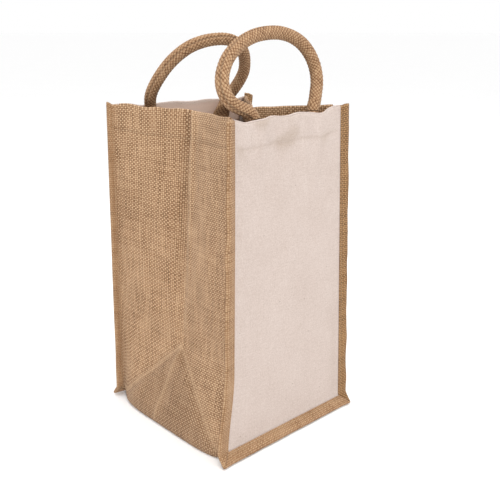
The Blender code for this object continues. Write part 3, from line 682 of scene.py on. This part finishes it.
def make_binding(face, word, kind):
    """One tape; kind is left, right or bottom. Its ends are mitred where it meets the next one."""
    profile = tape_profile()
    reach, offset = profile[:, 0], profile[:, 1]
    length = np.concatenate([[0], np.cumsum(np.hypot(np.diff(reach), np.diff(offset)))])
    mitre = 0.985
    share = np.linspace(0, 1, 64 if kind == "bottom" else 118)
    S, R = np.meshgrid(share, reach, indexing="ij")
    if kind == "bottom":
        low, high = -R * mitre * FLANGE_SHARE[LEFT, face], R * mitre * FLANGE_SHARE[RIGHT, face]
        A, B = low + (WIDTH + high - low) * S, -R
        along = S * WIDTH
    else:
        short = 0.0006
        B = -R * mitre + (PANEL_TOP - short + R * mitre) * S
        A = -R * FLANGE_SHARE[LEFT, face] if kind == "left" else WIDTH + R * FLANGE_SHARE[RIGHT, face]
        along = B
    O = np.broadcast_to(offset, A.shape)
    grid = frame_point(face, A, B, O)
    wave = cloth_noise(A, B, scale=38.0, seed=20.0 + face + len(kind))
    shake = cloth_noise(A, B, scale=110.0, seed=30.0 + face + len(kind))
    wave_height, shake_height = 0.0011, 0.0003
    lean = soft(R, TAPE_EDGE, FLANGE) * (wave_height * wave + shake_height * shake)
    normal = unit(frame_point(face, A, B, O - 0.001) - grid)
    grid = grid + normal * lean[..., None]
    if kind != "bottom":
        near, far = TAPE_LIFT[LEFT if kind == "left" else RIGHT, face]
        grid[..., 2] += (near + (far - near) * soft(R, 0.002, FLANGE)) * soft(B, RIM - 0.05, PANEL_TOP)
    uv = np.stack([along, np.broadcast_to(length, A.shape)], -1)
    # the right tapes take the darker copy of the tape: painted shade
    obj = cloth(f"{word}_{kind}_tape", grid, uv, TAPE, shaded_tape if kind == "right" else tape)
    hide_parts(f"{word}_{kind}_binding")
    return grid


bindings = {}
for word, face in (("front", FRONT), ("back", BACK)):
    for kind in ("left", "right", "bottom"):
        bindings[word, kind] = make_binding(face, word, kind)


# ---------------------------------------------------------------- handles
def smooth_route(points, spacing):
    """A smooth curve through the points."""
    ends = [points[0] * 2 - points[1], *points, points[-1] * 2 - points[-2]]
    route = []
    for p0, p1, p2, p3 in zip(ends, ends[1:], ends[2:], ends[3:]):
        steps = max(1, round(float(np.linalg.norm(p2 - p1)) / spacing))
        for t in np.arange(steps) / steps:
            route.append(0.5 * (2 * p1 + (p2 - p0) * t + (2 * p0 - 5 * p1 + 4 * p2 - p3) * t ** 2
                                + (3 * p1 - p0 - 3 * p2 + p3) * t ** 3))
    return np.array([*route, points[-1]])


def rim_frame(face):
    """Middle of the line that a handle's legs stand on, the way along it and the way out of the bag."""
    left, right = vec(*HANDLE_LEFT[face], RIM), vec(*CORNER[RIGHT, face], RIM)
    along = unit(right - left)
    outward = vec(-along[1], along[0], 0) * face
    return (left + right) / 2 - outward * LEG_OFFSET, along, outward


def flatness(share):
    """0 where a handle is round, 1 where its tail is flat; share is how far down the tail."""
    return soft(share * 1.6, 0, 1)


def tail_place(side, face, share, start):
    """A point of a tail: it runs down and a little inwards, and lies closer to the panel than the leg does."""
    _, along, outward = rim_frame(face)
    slant = radians(12)
    down = unit(vec(0, 0, -cos(slant)) - along * side * sin(slant))
    closer = 0.0058 + (0.0030 if (side, face) == (LEFT, BACK) else 0.0)
    return start + down * TAIL_LENGTH * share + outward * closer * float(flatness(share))


def resample(points, spacing):
    """The same curve in even steps, with the length run at each point."""
    gaps = np.linalg.norm(np.diff(points, axis=0), axis=1)
    where = np.concatenate([[0], np.cumsum(gaps)])
    count = int(round(where[-1] / spacing))
    marks = np.linspace(0, where[-1], count + 1)
    return np.stack([np.interp(marks, where, points[:, k]) for k in range(3)], -1), marks


def braid(p, q):
    """Height of a plain weave with threads along both diagonals."""
    a, b = np.abs(np.sin(pi * p)), np.abs(np.sin(pi * q))
    over = np.clip(np.sin(pi * p) * np.sin(pi * q) * 2.2 + 0.5, 0, 1)
    return 0.75 * (0.45 * a * b + 0.55 * (a * over + b * (1 - over))) + 0.25 * b


def make_handle(face, word, route):
    """A handle and its two tails: one woven tube, cut where the tails begin, with a closing seam along it."""
    middle, along, outward = rim_frame(face)
    lean = LEAN[face]
    up = outward * sin(lean) + vec(0, 0, cos(lean))
    loop = [middle + along * u + up * w for u, w in route]
    ends = {LEFT: loop[0], RIGHT: loop[-1]}
    tails = {s: [tail_place(s, face, share, ends[s]) for share in (1, 0.6, 0.3)] for s in (LEFT, RIGHT)}
    points = smooth_route([*tails[LEFT], *loop, *reversed(tails[RIGHT])], spacing=0.003)
    points, marks = resample(points, RING_STEP)
    start = int(np.argmin(np.linalg.norm(points - ends[LEFT], axis=1)))
    end = int(np.argmin(np.linalg.norm(points - ends[RIGHT], axis=1)))
    cut_left, cut_right = start - TAIL_CUT, end + TAIL_CUT
    count = len(points)

    # how flat the tube is: round in the loop, flat in the tails
    share = np.zeros(count)
    share[:start] = (marks[start] - marks[:start]) / TAIL_LENGTH
    share[end:] = (marks[end:] - marks[end]) / TAIL_LENGTH
    flat = flatness(np.clip(share, 0, 1))[:, None]
    half_wide = ROPE + (TAIL_HALF_WIDE - ROPE) * flat
    half_thick = ROPE + (TAIL_HALF_THICK - ROPE) * flat

    # which way it faces: square to the loop's plane, and turned to face the panel in the tails
    tangent = unit(np.gradient(points, axis=0))
    plane = unit(np.cross(along, up))
    side = unit(np.cross(tangent, np.repeat(plane[None], count, 0)))
    normal = unit(np.cross(side, tangent))
    blend_tail = np.clip(share * 6, 0, 1)[:, None]
    facing = unit(normal * (1 - blend_tail) + outward * np.sign((normal @ outward))[:, None] * blend_tail)
    facing = unit(facing - tangent * np.sum(facing * tangent, axis=1, keepdims=True))
    wide = unit(np.cross(tangent, facing))

    # the surface: diagonal threads, a groove with two lips at the closing seam, and a slow lumpiness
    theta = np.linspace(0, 2 * pi, AROUND, endpoint=False)
    T, M = np.meshgrid(theta, marks)
    pitch = 2 * pi * ROPE / BRAID_TURNS
    p = M / pitch + T * BRAID_TURNS / (2 * pi)
    q = M / pitch - T * BRAID_TURNS / (2 * pi)
    knots = marks[::60]
    lumps = noise_at(np.stack([knots * 60, knots * 0, knots * 0], -1), 1.0, 5.0 + face)
    unevenness = 0.025
    lump = 1 + unevenness * np.interp(marks, knots, lumps)[:, None]
    apart = np.angle(np.exp(1j * (T - SEAM_AT)))
    groove = bell(apart * ROPE, BRAID["groove_width"])
    lip = bell(np.abs(apart) * ROPE - BRAID["lip_place"], BRAID["lip_width"])
    relief = ((braid(p, q) - 0.6) * BRAID["height"] * (1 - 0.7 * groove) - BRAID["groove"] * groove
              + BRAID["lip"] * lip)
    relief = relief * (1 - 0.4 * flat)
    radius_w, radius_t = half_wide * lump + relief, half_thick * lump + relief
    ring = (points[:, None] + wide[:, None] * (radius_w * np.cos(T))[..., None]
            + facing[:, None] * (radius_t * np.sin(T))[..., None])
    uv = np.stack([p, q], -1)

    def tube(name, first, last, body):
        rows = ring[first:last + 1]
        verts = np.vstack([rows.reshape(-1, 3), [points[first] * 0.5 + rows[0].mean(0) * 0.5],
                           [points[last] * 0.5 + rows[-1].mean(0) * 0.5]])
        faces = [tuple(reversed(f)) for f in grid_faces(last - first + 1, AROUND, wrap=True)]
        end_point = (last - first + 1) * AROUND
        last_row = end_point - AROUND
        faces += [(end_point, (k + 1) % AROUND, k) for k in range(AROUND)]
        faces += [(end_point + 1, last_row + k, last_row + (k + 1) % AROUND) for k in range(AROUND)]
        flat_uv = np.vstack([uv[first:last + 1].reshape(-1, 2), [uv[first, 0]], [uv[last, 0]]])
        obj = mesh_object(name, verts, faces, webbing, body, flat_uv)
        # painted shade in the closing seam's groove
        mark = obj.data.attributes.new("tone", "FLOAT", "POINT")
        values = np.concatenate([groove[first:last + 1].ravel() * 1.6, [0, 0]])
        mark.data.foreach_set("value", values.astype(np.float32))
        return obj

    handle = tube(word + "_handle", cut_left, cut_right, None)
    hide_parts(word + "_handle_cover", word + "_handle_rope", word + "_left_handle_neck",
                word + "_right_handle_neck")
    left_tail = tube(word + "_left_tail", 0, cut_left - 1, "bag")
    right_tail = tube(word + "_right_tail", cut_right + 1, count - 1, "bag")
    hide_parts(word + "_left_handle_tail")
    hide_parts(word + "_right_handle_tail")
    low, high = middle + vec(0, 0, -0.004), middle + up * BEND_HEIGHT[face]
    return handle, points, (cut_left, cut_right), ring, wide, (low, high)


def stitches(name, tracks, material, body="bag", radius=0.00038, length=0.0030, gap=0.0011):
    """Rows of separate stitches. A track is its points and the outward normal at each."""
    along = np.array([0, 0.12, 0.35, 0.65, 0.88, 1.0])
    sink = 0.0002
    arch = np.array([-1.0, 0.35, 0.95, 0.95, 0.35, -1.0])[:, None] * radius - sink
    rings, around = len(along), 6
    side_faces = [(a, d, c, b) for a, b, c, d in grid_faces(rings, around, wrap=True)]
    verts, faces = [], []
    for points, normals in tracks:
        gaps = np.linalg.norm(np.diff(points, axis=0), axis=1)
        where = np.concatenate([[0], np.cumsum(gaps)])
        count = max(int(where[-1] / (length + gap)), 1)
        step = where[-1] / count
        for k in range(count):
            marks = k * step + gap / 2 + (step - gap) * along
            line = np.stack([np.interp(marks, where, points[:, c]) for c in range(3)], -1)
            out = unit(np.stack([np.interp(marks, where, normals[:, c]) for c in range(3)], -1))
            line = line + out * arch
            tangent = unit(np.gradient(line, axis=0))
            side = unit(np.cross(tangent, out))
            upward = np.cross(side, tangent)
            base = len(verts)
            for i in range(rings):
                r = radius * (0.55 if i in (0, rings - 1) else 1.0)
                for t in np.linspace(0, 2 * pi, around, endpoint=False):
                    verts.append(line[i] + side[i] * r * cos(t) + upward[i] * r * sin(t))
            faces += [tuple(base + i for i in face) for face in side_faces]
            faces.append(tuple(base + j for j in range(around)))
            faces.append(tuple(base + (rings - 1) * around + j for j in reversed(range(around))))
    obj = mesh_object(name, np.array(verts), faces, material, body)
    return obj


for word, face, route in (("front", FRONT, FRONT_ROUTE), ("back", BACK, BACK_ROUTE)):
    handle, points, (first, last), ring, wide, (low, high) = make_handle(face, word, route)
    seam_column, spare = int(round(SEAM_AT / (2 * pi) * AROUND)), 20
    rows = slice(first + spare, last - spare)
    track = ring[rows, seam_column]
    seam_thread = stitches(word + "_handle_seam_stitches", [(track, unit(track - points[rows]))], cream, None,
                           radius=0.00030, length=0.0026, gap=0.0012)
    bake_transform(seam_thread)
    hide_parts(word + "_handle_seam")
    line = points[first:last + 1]
    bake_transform(handle)
    # a zigzag across each tail, on its inner face
    outward, final = rim_frame(face)[2], len(points) - 1
    reach, depth, corners = 0.0078, 0.0019, 9
    for side_word, far in (("left", first - 34), ("right", final - last - 34)):
        places = np.linspace(4, far, corners).astype(int)
        places = places if side_word == "left" else final - places
        zig = np.array([points[r] + wide[r] * reach * (1 if k % 2 else -1) - outward * depth
                        for k, r in enumerate(places)])
        sewn = stitches(f"{word}_{side_word}_tail_sewing", [(zig, np.repeat(-outward[None], len(zig), 0))], cream)
        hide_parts(f"{word}_{side_word}_tail_stitch")


# ---------------------------------------------------------------- rows of stitches
def panel_track(face, grid):
    """The line of a panel's hem stitches and its outward normals."""
    line = grid[int(np.argmin(np.abs(PANEL_ROWS - (PANEL_TOP - HEM)))), 5:-5]
    outward = panel_axes(face, np.full(len(line), PANEL_TOP))[1]
    return line + outward * CANVAS / 2, outward


for word, face, grid in (("front", FRONT, front_grid), ("back", BACK, back_grid)):
    sewn = stitches(word + "_hem_sewing", [panel_track(face, grid)], pale, radius=0.00026, length=0.0024)
    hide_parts(word + "_hem_stitch")

for word, run in (("left", HEM), ("right", 2 * RIM + WIDTH - HEM)):
    index = int(np.argmin(np.abs(strip_lengths - run)))
    line = strip_grid[index, 4:-4]
    outward = normals_of(strip_grid)[index, 4:-4]
    outward = outward * (1 if (outward[:, 0].mean() < 0) == (word == "left") else -1)
    sewn = stitches(word + "_hem_sewing", [(line + outward * JUTE / 2, outward)], cream, radius=0.00032)
    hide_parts(word + "_hem_stitch")

for word, face in (("front", FRONT), ("back", BACK)):
    tracks = []
    for kind in ("left", "bottom", "right"):
        rows = bindings[word, kind][slice(1, -1) if kind == "bottom" else slice(4, -3)]
        line, behind = rows[:, STITCH_COLUMN], rows[:, -1 - STITCH_COLUMN]
        out = unit(line - behind)
        tracks.append((line + out * TAPE / 2, out))
        tracks.append((behind - out * TAPE / 2, -out))
    sewn = stitches(word + "_binding_sewing", tracks, cream, radius=0.00030)
    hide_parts(word + "_binding_stitch")


# ---------------------------------------------------------------- floor, light and camera
def make_floor():
    half = 60
    data = bpy.data.meshes.new("floor")
    data.from_pydata([(-half, -half, 0), (half, -half, 0), (half, half, 0), (-half, half, 0)], [], [(0, 1, 2, 3)])
    n = Nodes("floor")
    place = n.add("ShaderNodeTexCoord")
    greys = [(0.0, (0.975, 0.975, 0.975)), (1.0, (0.995, 0.995, 0.995))]
    n.colour(n.ramp(n.noise(place.outputs["Object"], 3.0), greys))
    data.materials.append(n.material)
    floor = bpy.data.objects.new("floor", data)
    floor.location.z = -0.0002
    bpy.context.scene.collection.objects.link(floor)


def make_light(name, place, target, size, power):
    data = bpy.data.lights.new(name, "AREA")
    data.shape = "DISK"
    data.size = size
    data.energy = power
    light = bpy.data.objects.new(name, data)
    light.location = place
    light.rotation_euler = (Vector(target) - Vector(place)).to_track_quat("-Z", "Y").to_euler()
    bpy.context.scene.collection.objects.link(light)


def make_camera():
    data = bpy.data.cameras.new("camera")
    data.lens = 50.4
    data.sensor_width = 36
    data.clip_end = 60
    camera = bpy.data.objects.new("camera", data)
    camera.location = (-0.4769, -0.5541, 0.4158)
    target = Vector((0.0175, -0.0138, 0.1838))
    camera.rotation_euler = (target - camera.location).to_track_quat("-Z", "Y").to_euler()
    bpy.context.scene.collection.objects.link(camera)
    bpy.context.scene.camera = camera


make_floor()
make_light("key", (-1.1, -1.5, 1.5), (0, 0, 0.18), 1.2, 11)
make_light("fill", (1.6, -1.0, 1.2), (0, 0, 0.18), 1.6, 3)
make_light("top", (-0.1, -0.2, 1.7), (0, 0, 0.2), 1.2, 12)
make_camera()
world = bpy.data.worlds.new("world")
world.use_nodes = True
world.node_tree.nodes["Background"].inputs["Color"].default_value = (1, 1, 1, 1)
world.node_tree.nodes["Background"].inputs["Strength"].default_value = 1.0
bpy.context.scene.world = world
bpy.context.scene.view_settings.view_transform = "Standard"
